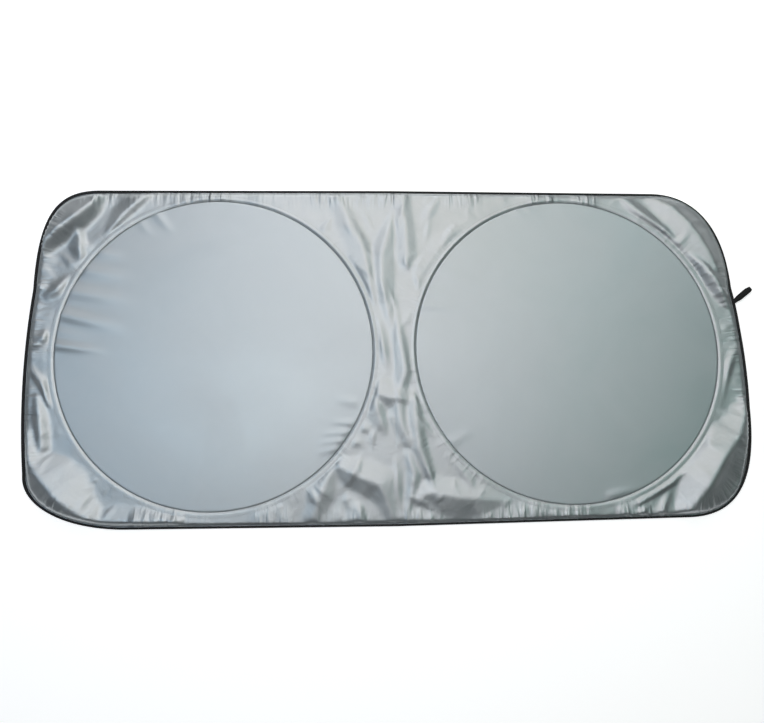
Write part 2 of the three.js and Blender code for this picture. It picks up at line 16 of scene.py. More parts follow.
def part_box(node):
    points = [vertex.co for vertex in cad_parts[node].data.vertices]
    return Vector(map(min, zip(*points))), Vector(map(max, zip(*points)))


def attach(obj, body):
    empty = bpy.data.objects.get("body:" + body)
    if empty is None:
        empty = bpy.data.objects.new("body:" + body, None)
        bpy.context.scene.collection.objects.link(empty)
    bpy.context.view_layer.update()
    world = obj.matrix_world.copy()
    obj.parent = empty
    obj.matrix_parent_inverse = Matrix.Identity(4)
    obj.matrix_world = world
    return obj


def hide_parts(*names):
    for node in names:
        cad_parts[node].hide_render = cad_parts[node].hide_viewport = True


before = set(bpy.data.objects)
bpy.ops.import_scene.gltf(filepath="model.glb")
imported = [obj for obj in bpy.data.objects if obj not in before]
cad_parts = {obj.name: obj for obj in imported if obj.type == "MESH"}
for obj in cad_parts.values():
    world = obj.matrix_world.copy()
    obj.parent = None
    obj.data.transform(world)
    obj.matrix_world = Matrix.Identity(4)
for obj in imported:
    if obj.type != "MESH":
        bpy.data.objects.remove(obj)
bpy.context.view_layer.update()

MM = 0.001

# %% [markdown]
# ## Sizes and the outline
# The cloth pieces are cut from one drawing: an oblong with four unlike corners, because the slack
# cloth pulls each corner in by its own amount. A curve for each corner is enough to draw it, and every
# other piece measures itself from that outline, so the pieces meet without fitting. These values are
# the sizes of the solids, in millimetres.

# %% Sizes in millimetres
HOOP_RADIUS, HOOP_GAP, HOOP_OFFSET_Y = 325, 78, 4
HOOP_X = HOOP_RADIUS + HOOP_GAP / 2
LENGTH, WIDTH = 4 * HOOP_RADIUS + HOOP_GAP + 2 * 53, 2 * HOOP_RADIUS + 2 * 25
UNIT = HOOP_RADIUS / 100
CORNERS = {
    "top_left": (40, 66.5, 2.5, 0.6, 0.71),
    "bottom_left": (67.7, 34.5, 3.7, 1.5, 0.54),
    "bottom_right": (47, 69.5, 0, 1.5, 0.68),
    "top_right": (54, 66.5, 4.3, 1.2, 0.6),
}
CLOTH, THIN_CLOTH, SEWING_GAP = 0.4, 0.3, 0.3
SLEEVE_THICKNESS, TUNNEL_RADIUS = 0.5, 2.3
SEAM_HEIGHT = SLEEVE_THICKNESS + TUNNEL_RADIUS + SEWING_GAP
OUTER_ALLOWANCE, INNER_ALLOWANCE, SEAM_INSET = 4.2, 8, 3.2
SEAM_RADIUS = HOOP_RADIUS - TUNNEL_RADIUS - SEAM_INSET
RIDGE_FOOT = HOOP_RADIUS + TUNNEL_RADIUS + OUTER_ALLOWANCE + SEWING_GAP
BINDING_WIDTH, BINDING_THICKNESS = 8, 0.6
EDGE_HEIGHT = BINDING_THICKNESS + SEWING_GAP
BINDING_HEIGHT = 2 * EDGE_HEIGHT + CLOTH
LOOP_Y, LOOP_LENGTH, LOOP_ANGLE = 103, 47, math.radians(38)
ELASTIC_WIDTH, ELASTIC_THICKNESS, LOOP_OPENING, LOOP_OVERLAP = 12, 1.2, 6.4, 7
LOOP_LIFT, LOOP_EASE = ELASTIC_THICKNESS + SEWING_GAP, 60

hoop_boxes = [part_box("left_hoop"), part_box("right_hoop")]
SHIFT_X = (hoop_boxes[0][0][0] + hoop_boxes[1][1][0]) / 2 / MM
print("the outline's middle is at x =", round(SHIFT_X, 2), "mm")


# %% The outline as a line of points
def bezier(points, count):
    t = np.linspace(0, 1, count)[:, None]
    level = [np.tile(np.asarray(p, float), (count, 1)) for p in points]
    while len(level) > 1:
        level = [a * (1 - t) + b * t for a, b in zip(level, level[1:])]
    return level[0]


def half_outline(side, first, second):
    """From the middle of one long edge round to the middle of the other, anticlockwise."""
    half_length, half_width, start = LENGTH / 2, WIDTH / 2, -side

    def ends(corner, top):
        *sizes, fullness = CORNERS[corner]
        reach_x, reach_y, inset_x, inset_y = (value * UNIT for value in sizes)
        long_end = np.array([side * (half_length - reach_x), top * (half_width - inset_y)])
        short_end = np.array([side * (half_length - inset_x), top * (half_width - reach_y)])
        along_x = np.array([side * reach_x * fullness, 0])
        along_y = np.array([0, top * reach_y * fullness])
        return long_end, short_end, along_x, along_y

    long_1, short_1, x_1, y_1 = ends(first, start)
    long_2, short_2, x_2, y_2 = ends(second, -start)
    between = (short_1 + short_2) / 2
    bow = np.array([2 * side * half_length - between[0], between[1]])
    pieces = [
        bezier([(0, start * half_width), long_1], 400),
        bezier([long_1, long_1 + x_1, short_1 + y_1, short_1], 400),
        bezier([short_1, bow, short_2], 400),
        bezier([short_2, short_2 + y_2, long_2 + x_2, long_2], 400),
        bezier([long_2, (0, -start * half_width)], 400),
    ]
    return np.vstack([pieces[0]] + [piece[1:] for piece in pieces[1:]])


def walk(line, step):
    """Points a step apart along a line, each with the direction that points into the cloth."""
    walked = np.r_[0, np.cumsum(np.linalg.norm(np.diff(line, axis=0), axis=1))]
    stops = np.linspace(0, walked[-1], int(round(walked[-1] / step)) + 1)
    points = np.c_[np.interp(stops, walked, line[:, 0]), np.interp(stops, walked, line[:, 1])]
    tangent = np.gradient(points, axis=0)
    tangent /= np.linalg.norm(tangent, axis=1)[:, None]
    return points, np.c_[-tangent[:, 1], tangent[:, 0]]


def on_circle(side, radius, turn):
    """A place at this distance from the middle of the left hoop, -1, or of the right one, 1."""
    return side * HOOP_X + radius * math.cos(turn), HOOP_OFFSET_Y + radius * math.sin(turn)


left_line = half_outline(-1, "top_left", "bottom_left")
right_line = half_outline(1, "bottom_right", "top_right")
loop_root = np.array([np.interp(LOOP_Y, right_line[900:1600, 1], right_line[900:1600, 0]), LOOP_Y])
print("the loop leaves the edge at", loop_root.round(1))

# %% [markdown]
# ## The folds of the slack surround
# Slack cloth between two tight rings can only buckle. It stands in long folds that fan out from where
# it is held, each like a tent: a crest that rises and falls, and a flat slope on either side. A fold is
# drawn here by its crest, as a tailor would draw it with chalk. Each point of the crest has a place
# and a height, and two more values say how far the slopes run out for each unit that they fall.
# A raised crest looks farther from the camera's foot than it is, so it stands a little nearer here.

# %% The crests of the folds
# The first value is the hoop whose middle a fold is measured from: left -1, right 1, or 0 for the
# middle of the shade. Places and heights are in hundredths of the hoop's radius.
FOLDS = [
    (0, [(-34, 100.5, 1.4), (-27, 83, 1.9), (-20, 69, 2.2), (-16, 53.5, 2.2), (-14, 40.5, 1.8),
         (-12, 22, 0)], 2.6, 5.2),
    (0, [(1, 93, 0.5), (-3.5, 75.5, 1.8), (-7.5, 61, 2.4), (-7.5, 44, 2.4), (-1, 10, 0)], 3.9, 3.3),
    (0, [(7.5, 102.5, 1.4), (8.5, 83, 1.8), (9.5, 64.5, 1.9), (9.5, 56.5, 1.4)], 3.5, 4.7),
    (0, [(31.5, 102, 0.7), (24.5, 90.5, 1.1), (18, 81.5, 0)], 3.4, 4.4),
    (0, [(51.5, 87.5, 0.4), (30.5, 68, 0.7), (18.5, 50.5, 0.7), (16, 40.5, 0)], 5.4, 9.9),
    (0, [(-12, 24.5, 0.4), (-10, 11.5, 1.2), (-7, -0.5, 1.4), (-4, -13, 0.3)], 3, 3.2),
    (0, [(2, 24.5, 0.5), (3.5, 7, 1.8), (6.5, -14, 2.1), (3.5, -23.5, 1.8), (2, -31, 0.4)], 2.4, 3.2),
    (0, [(-18, -22.5, 1.4), (-10, -28.5, 2.1), (-2.5, -30.5, 2.3), (3.5, -31.5, 2.2),
         (8.5, -32.5, 1.1)], 5.2, 3.2),
    (0, [(-16, -26.5, 1.4), (-12, -35.5, 1.9), (-9, -46.5, 1.4), (-6, -55, 0)], 3.2, 4.4),
    (0, [(1.5, -34.5, 1.8), (3.5, -46.5, 1.8), (7.5, -58, 1.4), (12, -69, 0)], 3, 3.5),
    (0, [(11.5, -32.5, 1.6), (12.5, -46.5, 2.2), (14.5, -62, 2.2), (19.5, -76, 1.6),
         (24, -89, 0.3)], 2.4, 3.5),
    (0, [(37.5, -71, 0.7), (45.5, -84, 1.2), (51.5, -93, 0.7)], 2.6, 3.5),
    (0, [(-39, -70, 1.1), (-29, -76, 2.2), (-18, -81, 2.6), (-10.5, -84, 2.6), (-6.5, -93.5, 1.9),
         (-3, -104.5, 1.1)], 4.7, 3.9),
    (0, [(-40, -73, 1.1), (-46, -88, 2.1), (-52, -102.5, 1.4)], 4.1, 4),
    (0, [(-28, -90, 0.2), (-25, -97, 1.1), (-23, -103.5, 1.2)], 3.5, 5.2),
    (0, [(0, -69, 0.5), (0, -85, 1.2), (2, -104, 0.5)], 3, 3.5),
    (0, [(7.5, -66, 1.2), (10.5, -78, 1.6), (8.5, -91, 1.4), (4, -104, 0.5)], 3.4, 2.9),
    (0, [(13.5, -91, 1.3), (22.5, -89, 2.3), (37, -92.5, 2.4), (51, -93.5, 2), (73, -95, 0)], 4.7, 5.3),
    (0, [(-31, -59, 0.7), (-25, -58, 1.1), (-19, -60, 0)], 3.2, 2.4),
    (0, [(-26, -50, 0.4), (-20, -49, 1.1), (-14, -52, 0)], 3.5, 3),
    (-1, [(-113, 62, 4), (-105, 70, 6.4), (-97, 78, 8), (-88, 85.5, 8.3), (-80, 93, 7),
         (-75, 101, 4)], 2.2, 0.95),
    (-1, [(-67, 78, 1.5), (-60.5, 87.5, 2.8), (-52.5, 95.5, 3.1), (-44, 103, 1.8)], 3, 1.1),
    (-1, [(-87, 80, 1.8), (-85.5, 67.5, 3.1), (-84, 57.5, 1.2)], 1.3, 2.6),
    (-1, [(-111.5, 52, 1.8), (-104.5, 54.5, 0)], 1.5, 1.1),
    (-1, [(-111.5, 40, 2.5), (-102.5, 43.5, 0)], 1.8, 1.2),
    (-1, [(-111.5, 29.5, 1.8), (-104.5, 32, 0)], 1.5, 1.1),
    (-1, [(-104, 34.5, 1.2), (-97.5, 40, 2.8), (-91, 46.5, 1.2)], 2.4, 1.4),
    (-1, [(-109.5, 5.5, 1.8), (-102.5, 9, 2.8), (-97, 11.5, 0.9)], 2.2, 1.4),
    (-1, [(-111, -10.5, 1.5), (-103, -20.5, 2.8), (-98.5, -31.5, 2.2)], 1.5, 1.1),
    (-1, [(-106, -27.5, 1.5), (-103, -42.5, 3.1), (-101, -58, 3.1), (-104, -74, 0.9)], 1.6, 2),
    (-1, [(-111.5, -51, 2.8), (-106.5, -68, 4.7), (-99.5, -77, 6.8), (-88.5, -88.5, 7.5),
         (-77.5, -97.5, 5.4), (-66.5, -102.5, 2.8)], 2.8, 2),
    (-1, [(-67, -103, 2.2), (-47, -103.5, 2.5), (-22.5, -104, 1.8)], 4, 1),
    (-1, [(-65.5, -97, 0.6), (-59, -104, 1.8)], 1.2, 1.5),
    (-1, [(-51.5, -96, 0.6), (-46, -104, 1.8)], 1.2, 1.5),
    (1, [(41.5, 102, 1.8), (58, 86.5, 2.8), (70, 76.5, 3.1), (82, 61.5, 1.2)], 2.4, 1.6),
    (1, [(64, 101, 2.2), (75.5, 93, 4.6), (84, 83.5, 5.5), (91, 73, 5.5), (96.5, 63, 5),
         (101, 52, 4), (104, 42, 1.5)], 1.9, 3),
    (1, [(85, 62, 2.5), (92.5, 54, 4.6), (99.5, 43, 5.2), (105.5, 30, 3.1), (109.5, 23, 0)], 2, 1.1),
    (1, [(109.5, -2.5, 1.2), (102, -16.5, 2.5), (96, -30.5, 2.5), (91, -46, 0.9)], 1.2, 1.5),
    (1, [(113.5, -37.5, 2.8), (104.5, -56.5, 6.2), (92.5, -70, 8), (80, -88.5, 8),
         (68.5, -102.5, 4)], 2.3, 2.3),
    (1, [(90, -54, 1.2), (78.5, -67, 2.2), (60.5, -85, 2.5), (38, -98, 1.8)], 0.9, 2),
    (1, [(109.5, -76, 1.2), (102, -90, 2.2), (92.5, -99, 1.2)], 1, 1.2),
    (1, [(71, -87, 0.9), (66, -102.5, 2.5)], 1.2, 2),
    (1, [(58, -92, 0.9), (52.5, -103.5, 2.2)], 1.2, 2),
    (1, [(45.5, -98, 0.6), (40, -104, 1.8)], 1.2, 2),
]
HOOP_EASE, BAND_EASE, FOOT_LIFT, EDGE_ROLL = 8, 6, 1.8, 3
print(len(FOLDS), "folds")


# %% The height of the surround at any place
def smooth(t):
    t = np.clip(t, 0, 1)
    return t * t * (3 - 2 * t)


def nearest_on_path(x, y, path):
    """Distance to a line of points, whether it is passed on its left, and the nearest span and share."""
    path = np.asarray(path, float)
    distance = np.full(x.shape, np.inf)
    on_left, span, share = np.ones(x.shape, bool), np.zeros(x.shape, int), np.zeros(x.shape)
    for i, (start, end) in enumerate(zip(path, path[1:])):
        dx, dy = end[:2] - start[:2]
        t = np.clip(((x - start[0]) * dx + (y - start[1]) * dy) / (dx * dx + dy * dy), 0, 1)
        away = np.hypot(x - start[0] - t * dx, y - start[1] - t * dy)
        nearer = away < distance
        distance = np.where(nearer, away, distance)
        on_left = np.where(nearer, dx * (y - start[1]) > dy * (x - start[0]), on_left)
        span, share = np.where(nearer, i, span), np.where(nearer, t, share)
    return distance, on_left, span, share


def fold_height(x, y, folds):
    highest = np.zeros(x.shape)
    for hoop, crest, left, right in folds:
        crest = np.asarray(crest, float) * UNIT + (hoop * HOOP_X, HOOP_OFFSET_Y, 0)
        reach = crest[:, 2].max() * max(left, right)
        low, high = crest[:, :2].min(0) - reach, crest[:, :2].max(0) + reach
        near = (x > low[0]) & (x < high[0]) & (y > low[1]) & (y < high[1])
        distance, on_left, span, share = nearest_on_path(x[near], y[near], crest)
        height = crest[span, 2] * (1 - share) + crest[span + 1, 2] * share
        highest[near] = np.maximum(highest[near], height - distance / np.where(on_left, left, right))
    return highest


def soft_fold_height(x, y, folds, rings):
    """Cloth has no knife edges: the height at a place is the mean over a small round patch."""
    heights, weights = fold_height(x, y, folds) * 2, 2
    for radius, count in rings:
        for turn in np.arange(count) * 2 * math.pi / count:
            heights += fold_height(x + radius * math.cos(turn), y + radius * math.sin(turn), folds)
            weights += 1
    return heights / weights


# %% [markdown]
# Slack cloth that has been folded and opened many times also keeps small creases. No drawing of them is
# needed: they are short, they point away from the nearest hoop or along the waist, and chance does the
# rest.

# %% Small creases
random = np.random.default_rng(11)


def small_creases(count):
    creases = []
    while len(creases) < count:
        side = random.choice([-1, 1])
        turn, away = random.uniform(0, 2 * math.pi), random.uniform(8, 150)
        x, y = on_circle(side, HOOP_RADIUS + away, turn)
        if x * side < 0 or abs(x) > LENGTH / 2 - 10 or abs(y) > WIDTH / 2 - 8:
            continue
        outward = np.array([math.cos(turn), math.sin(turn)])
        along_waist = np.array([x * 1.2, y]) / max(math.hypot(x * 1.2, y), 1)
        share = float(smooth((abs(x) - 100) / 60))
        way = math.atan2(*(share * outward + (1 - share) * along_waist)[::-1]) + random.normal(0, 0.35)
        half = random.uniform(9, 34)
        high = random.uniform(0.25, 0.95) * (half / 30) ** 0.4
        bend = random.normal(0, 0.18) * half
        ahead = np.array([math.cos(way), math.sin(way)])
        across = np.array([-math.sin(way), math.cos(way)])
        line = [np.array([x, y]) + ahead * half * t + across * bend * (1 - t * t) for t in (-1, 0, 1)]
        points = [(*((point - (side * HOOP_X, HOOP_OFFSET_Y)) / UNIT), high * h)
                  for point, h in zip(line, (0.2, 1, 0.3))]
        creases.append((side, points, random.uniform(2.2, 4), random.uniform(3, 6)))
    return creases


SMALL_FOLDS = small_creases(150)


# %% [markdown]
# The black tape is folded over the edge of the cloth, and the slack cloth rolls over the tape's upper
# leaf. A line beside the leaf says where the cloth comes out, and the folds flatten out before it.

# %% The line where the cloth leaves the binding
LEAF_TUCK, TOP_TUCK, BOTTOM_TUCK, CORNER_TUCK = 1.2, 1.6, 2.2, 2.4


def near_bottom(y):
    return smooth((-y - 250) / 60)


def leaf_width(x, y):
    """How much of the binding's upper leaf shows: less where the slack cloth rolls over it."""
    along_top = smooth((y - 250) / 60) * smooth((x + 560) / 80)
    corner = smooth((x - 560) / 60) * smooth((y - 120) / 60)
    rolled = TOP_TUCK * along_top + BOTTOM_TUCK * near_bottom(y) + CORNER_TUCK * corner
    return BINDING_WIDTH - LEAF_TUCK - rolled


BAND_STEP = 12
band_line = np.vstack([
    points + (leaf_width(*points.T) + LEAF_TUCK)[:, None] * inward
    for points, inward in (walk(left_line, BAND_STEP), walk(right_line, BAND_STEP))
])
band_ring = np.vstack([band_line, band_line[:1]])
print("line beside the binding:", len(band_line), "points")


def edge_lift(x, y):
    away = np.hypot(x - loop_root[0], y - loop_root[1]) - ELASTIC_WIDTH
    return LOOP_LIFT * (1 - smooth(away / LOOP_EASE))


# %% [markdown]
# Between the large folds the cloth is gathered where it is sewn. The gathers are small, they stand
# across the seam, and they come in groups. Each seam gets a line of uneven heights, and the height
# fades with the distance from the seam.

# %% Gathers along the seams
def uneven(length, spacing):
    """A smooth line of random heights from 0 to 1 that closes on itself, as a function of the place."""
    count = max(3, int(round(length / spacing)))
    knots = random.random(count)

    def at(place):
        step = (np.asarray(place) / length * count) % count
        whole = step.astype(int) % count
        part = smooth(step - np.floor(step))
        return knots[whole] * (1 - part) + knots[(whole + 1) % count] * part

    return at


RING_LENGTH = 2 * math.pi * HOOP_RADIUS
SEAM_LENGTHS = {-1: RING_LENGTH, 1: RING_LENGTH, 0: len(band_line) * BAND_STEP}
GATHERS = {seam: (uneven(long, 7), uneven(long, 60)) for seam, long in SEAM_LENGTHS.items()}


def gathers(seam, place, away, high, reach):
    fine, groups = GATHERS[seam]
    return high * fine(place) * smooth(groups(place) * 2 - 0.6) * np.exp(-((away / reach) ** 2))


# %% The height of the whole surround
FOLD_PATCH, CREASE_PATCH = ((2.6, 6), (5.2, 8)), ((2.2, 5),)


def surround_height(x, y):
    """Underside of the surround cloth, from the ridge over the wire out to the edge binding."""
    side = np.where(x < 0, -1, 1)
    hoop_side = np.hypot(x - side * HOOP_X, y - HOOP_OFFSET_Y) - RIDGE_FOOT
    hoop_side = np.maximum(hoop_side, 0)
    turn = np.arctan2(y - HOOP_OFFSET_Y, x - side * HOOP_X) * HOOP_RADIUS
    band_side, _, span, share = nearest_on_path(x, y, band_ring)
    edge = EDGE_HEIGHT + edge_lift(x, y)
    roll = EDGE_ROLL * (1 - 0.55 * near_bottom(y))
    roll = np.maximum(np.minimum(roll, hoop_side + band_side - 1), 1)
    level = edge + (SEAM_HEIGHT + FOOT_LIFT - edge) * smooth((band_side - 1) / roll)
    folds = soft_fold_height(x, y, FOLDS, FOLD_PATCH)
    folds += soft_fold_height(x, y, SMALL_FOLDS, CREASE_PATCH)
    folds += gathers(0, (span + share) * BAND_STEP, band_side, 1.6, 22) * smooth(band_side / 4)
    for hoop in (-1, 1):
        drawn_in = gathers(hoop, turn, hoop_side, 1.2, 18) * smooth(hoop_side / 5)
        folds += np.where(side == hoop, drawn_in, 0)
    return level + folds * smooth(hoop_side / HOOP_EASE) * smooth((band_side - 1) / BAND_EASE)


# %% [markdown]
# ## From points to cloth
# Sheets are made by mesh code, because their shape is a height over a plan and not a form that is
# extruded or spun. Rows of points run from the wire out to the edge, and the strip between two rows is
# filled with triangles. Solidify then gives the cloth its thickness, downwards.

# %% Helpers that make cloth
def make_mesh(name, points, faces):
    """A finished object at the origin, with its place in its mesh. Points are given in millimetres."""
    mesh = bpy.data.meshes.new(name)
    points = (np.asarray(points, float) + (SHIFT_X, 0, 0)) * MM
    mesh.from_pydata(points.tolist(), [], faces)
    mesh.validate()
    mesh.update()
    mesh.shade_smooth()
    piece = bpy.data.objects.new(name, mesh)
    bpy.context.collection.objects.link(piece)
    return piece


def select_only(piece):
    bpy.ops.object.select_all(action="DESELECT")
    piece.select_set(True)
    bpy.context.view_layer.objects.active = piece


def turn_outwards(piece, merge_within=0.0):
    """Makes all faces point outwards. Points nearer to each other than merge_within become one first."""
    select_only(piece)
    bpy.ops.object.mode_set(mode="EDIT")
    bpy.ops.mesh.select_all(action="SELECT")
    if merge_within:
        bpy.ops.mesh.remove_doubles(threshold=merge_within)
    bpy.ops.mesh.normals_make_consistent(inside=False)
    bpy.ops.object.mode_set(mode="OBJECT")


def plan_of(piece):
    """Where a piece's points are in the drawing, in millimetres."""
    place = np.empty(len(piece.data.vertices) * 3)
    piece.data.vertices.foreach_get("co", place)
    return place[0::3] / MM - SHIFT_X, place[1::3] / MM


def apply_all(piece):
    select_only(piece)
    for modifier in list(piece.modifiers):
        bpy.ops.object.modifier_apply(modifier=modifier.name)
    piece.select_set(False)


def thicken(piece, thickness):
    solid = piece.modifiers.new("thickness", "SOLIDIFY")
    solid.thickness = thickness * MM
    solid.offset = -1
    apply_all(piece)


def join_rows(rows):
    """Triangles between neighbouring rows. A row is a list of (point number, how far along it is)."""
    faces = []
    for row_a, row_b in zip(rows, rows[1:]):
        i = j = 0
        while i + 1 < len(row_a) or j + 1 < len(row_b):
            next_a = row_a[i + 1][1] if i + 1 < len(row_a) else math.inf
            next_b = row_b[j + 1][1] if j + 1 < len(row_b) else math.inf
            if next_a <= next_b:
                faces.append((row_a[i][0], row_a[i + 1][0], row_b[j][0]))
                i += 1
            else:
                faces.append((row_a[i][0], row_b[j + 1][0], row_b[j][0]))
                j += 1
    return [face for face in faces if len(set(face)) == 3]


# %% [markdown]
# ## The surround
# On the real shade this is the piece that gives the look: crumpled silver cloth round two smooth
# discs. Its inner edge is sewn down beside each wire, climbs over the wire as a narrow ridge, and
# falls to the folds. It could be simulated, but the photograph's folds are particular ones, so they
# are drawn. Rows only a few millimetres apart carry them, which is finer than the solid has them.

# %% Rows of the surround
ROW_STEP, POINT_STEP, SOFT_PASSES, PULLED_RISE = 4.4, 3.6, 3, 1.1
RIDGE_PROFILE = [
    (SEAM_RADIUS, -0.1), (SEAM_RADIUS + 1.0, 0.3), (SEAM_RADIUS + 2.0, 0.7), (SEAM_RADIUS + 3.0, 1.1),
    (SEAM_RADIUS + 4.0, 1.45), (HOOP_RADIUS - 0.5, 1.72), (HOOP_RADIUS + 0.8, 1.82),
    (HOOP_RADIUS + 2.8, 1.84), (HOOP_RADIUS + 4.8, 1.82), (RIDGE_FOOT, FOOT_LIFT),
]
RIDGE, OPEN, EDGE = 0.0, 1.0, 2.0


def surround_rows(side, line):
    """For one half: the points, and the rows as lists of (point number, how far along). A point's
    fourth value says whether it lies on the ridge over the wire, in the open cloth or at the tape's
    edge. The ridge stands highest where the waist pulls on it."""
    stations, inward = walk(line, ROW_STEP)
    inward[0], inward[-1] = (0, -np.sign(stations[0][1])), (0, -np.sign(stations[-1][1]))
    bands = stations + (leaf_width(*stations.T) + 0.2)[:, None] * inward
    edges = stations + EDGE_HEIGHT * inward
    waist_rows = int(abs(bands[-1][1] - bands[0][1]) / ROW_STEP)
    waist_y = np.linspace(bands[-1][1], bands[0][1], waist_rows)[1:-1]
    targets = [(band, edge) for band, edge in zip(bands, edges)]
    targets += [((0.0, y), None) for y in waist_y]
    points, rows = [], []
    centre = np.array([side * HOOP_X, HOOP_OFFSET_Y])
    for band, edge in targets:
        band = np.asarray(band, float)
        direction = band - centre
        direction /= np.linalg.norm(direction)
        foot = centre + RIDGE_FOOT * direction
        span = np.linalg.norm(band - foot)
        count = max(3, int(round(span / POINT_STEP)))
        row = []
        pull = max(0.0, -side * direction[0] * 0.8 + direction[1] * 0.6) ** 2
        for radius, height in RIDGE_PROFILE:
            rise = PULLED_RISE * pull * math.exp(-(((radius - HOOP_RADIUS) / 3) ** 2))
            row.append((*(centre + radius * direction), SEAM_HEIGHT + height + rise, 0))
        for part in [*(np.arange(1, count) / count), 1 - 1.35 / span, 1]:
            row.append((*(foot + (band - foot) * part), 0.0, part))
        if edge is not None:
            row.append((*edge, EDGE_HEIGHT, 1.05))
        numbered = []
        for x, y, z, share in row:
            along = share if share else (len(numbered) - len(RIDGE_PROFILE)) * 0.001
            numbered.append((len(points), along))
            points.append((x, y, z, RIDGE if share == 0 else (EDGE if share > 1 else OPEN)))
        rows.append(numbered)
    return points, rows + [rows[0]]


def soften(piece):
    """Rounds the crests and the valleys of the folds, up and down only. The sewn places stay."""
    x, y = plan_of(piece)
    from_hoop = np.hypot(np.abs(x) - HOOP_X, y - HOOP_OFFSET_Y) - RIDGE_FOOT
    from_band = nearest_on_path(x, y, band_ring)[0]
    inside = (from_hoop > 0.6) & (from_band > EDGE_ROLL)
    soft = piece.vertex_groups.new(name="open cloth")
    soft.add(np.flatnonzero(inside).tolist(), 1, "REPLACE")
    smoothing = piece.modifiers.new("soft", "SMOOTH")
    smoothing.use_x = smoothing.use_y = False
    smoothing.factor, smoothing.iterations, smoothing.vertex_group = 0.5, SOFT_PASSES, soft.name
    apply_all(piece)


def mark_seams(piece):
    """Gives each point the nearest place on each seam and its distance from it, for the gathers."""
    x, y = plan_of(piece)
    away, _, span, share = nearest_on_path(x, y, band_ring)
    on_band = band_ring[span] * (1 - share)[:, None] + band_ring[span + 1] * share[:, None]
    centre = np.c_[np.where(x < 0, -HOOP_X, HOOP_X), np.full(len(x), HOOP_OFFSET_Y)]
    from_centre = np.c_[x, y] - centre
    radius = np.linalg.norm(from_centre, axis=1)[:, None]
    on_hoop = centre + from_centre / radius * HOOP_RADIUS
    for name, nearest, off in (("band", on_band, away), ("hoop", on_hoop, radius[:, 0] - HOOP_RADIUS)):
        layer = piece.data.attributes.new(name=name, type="FLOAT_VECTOR", domain="POINT")
        layer.data.foreach_set("vector", np.c_[nearest, off].ravel() * MM)


def surround_cloth():
    all_points, faces = [], []
    for side, line in ((-1, left_line), (1, right_line)):
        points, rows = surround_rows(side, line)
        base = len(all_points)
        faces += [tuple(n + base for n in face) for face in join_rows(rows)]
        all_points += points
    cloud = np.array(all_points)
    open_cloth = cloud[:, 3] == OPEN
    x, y = cloud[open_cloth, 0], cloud[open_cloth, 1]
    cloud[open_cloth, 2] = surround_height(x, y)
    at_edge = cloud[:, 3] == EDGE
    cloud[at_edge, 2] += edge_lift(cloud[at_edge, 0], cloud[at_edge, 1])
    cloud[:, 2] += CLOTH
    piece = make_mesh("surround_cloth", cloud[:, :3], faces)
    turn_outwards(piece, merge_within=0.02 * MM)
    if piece.data.polygons[0].normal.z < 0:
        piece.data.flip_normals()
    soften(piece)
    mark_seams(piece)
    thicken(piece, THIN_CLOTH)
    return piece


surround = surround_cloth()
print("surround:", len(surround.data.polygons), "faces")

# %% [markdown]
# ## The two taut discs
# A sprung hoop pulls its round panel tight, so it shows almost nothing but a broad soft shine. It
# still isn't a plane: it sags a little, and short tension wrinkles run in from the seam. Each line
# of the table says on which hoop a wrinkle lies, where it starts and ends, its height and its width.

# %% Discs
DISC_RADIUS, SAG, SEAM_DIP, SEAM_START = SEAM_RADIUS - SEWING_GAP, 1.2, 0.45, 0.994
DISC_WRINKLES = [
    (-1, (-314, 14), (-200, -2), 5, 9),
    (-1, (-312, 42), (-240, 26), 2, 8),
    (-1, (-305, 76), (-165, 44), 5.6, 13),
    (-1, (-288, 124), (-150, 102), 4.8, 14),
    (-1, (-262, 168), (-160, 154), 3.6, 12),
    (-1, (-236, 206), (-176, 198), 2.4, 9),
    (-1, (-128, 290), (-84, 240), 2.4, 8),
    (-1, (-160, 270), (-128, 236), 1.4, 7),
    (-1, (272, -150), (226, -146), 2.4, 6),
    (-1, (262, -168), (206, -172), 2.7, 6),
    (-1, (252, -184), (200, -192), 2.4, 6),
    (-1, (240, -200), (196, -212), 1.8, 6),
    (-1, (278, -108), (230, -96), 1.5, 8),
    (1, (-302, 92), (-206, 84), 1.8, 7),
    (1, (-290, 124), (-236, 112), 1, 7),
    (1, (-262, 170), (-180, 130), 0.8, 12),
    (1, (-96, 300), (-60, 276), 1.6, 7),
    (1, (-70, 304), (-40, 282), 1.2, 7),
    (1, (70, -302), (140, -284), 1.8, 8),
    (1, (-250, -190), (-190, -160), 1, 9),
]


def disc_height(side, x, y):
    radius = np.hypot(x, y) / DISC_RADIUS
    height = SEAM_HEIGHT + CLOTH - SAG * (1 - radius**2)
    for hoop, start, end, high, wide in DISC_WRINKLES:
        if hoop == side:
            away, _, _, share = nearest_on_path(x, y, [start, end])
            height += high * np.exp(-((away / wide) ** 2)) * smooth(1 - share)
    return height - SEAM_DIP * np.clip((radius - SEAM_START) / (1 - SEAM_START), 0, 1)


def disc_cloth(name, side):
    rings = np.r_[np.linspace(0.0, 0.97, 62)[1:], 0.98, 0.988, 0.994, 0.997, 1.0] * DISC_RADIUS
    turns = np.linspace(0, 2 * np.pi, 361)[:-1]
    radius, turn = np.meshgrid(rings, turns, indexing="ij")
    x = np.r_[0, (radius * np.cos(turn)).ravel()]
    y = np.r_[0, (radius * np.sin(turn)).ravel()]
    z = disc_height(side, x, y)
    count = len(turns)
    faces = [(0, 1 + j, 1 + (j + 1) % count) for j in range(count)]
    for i in range(len(rings) - 1):
        inner, outer = 1 + i * count, 1 + (i + 1) * count
        for j in range(count):
            k = (j + 1) % count
            faces.append((inner + j, outer + j, outer + k, inner + k))
    points = np.c_[x + side * HOOP_X, y + HOOP_OFFSET_Y, z]
    piece = make_mesh(name, points, faces)
    thicken(piece, THIN_CLOTH)
    return piece


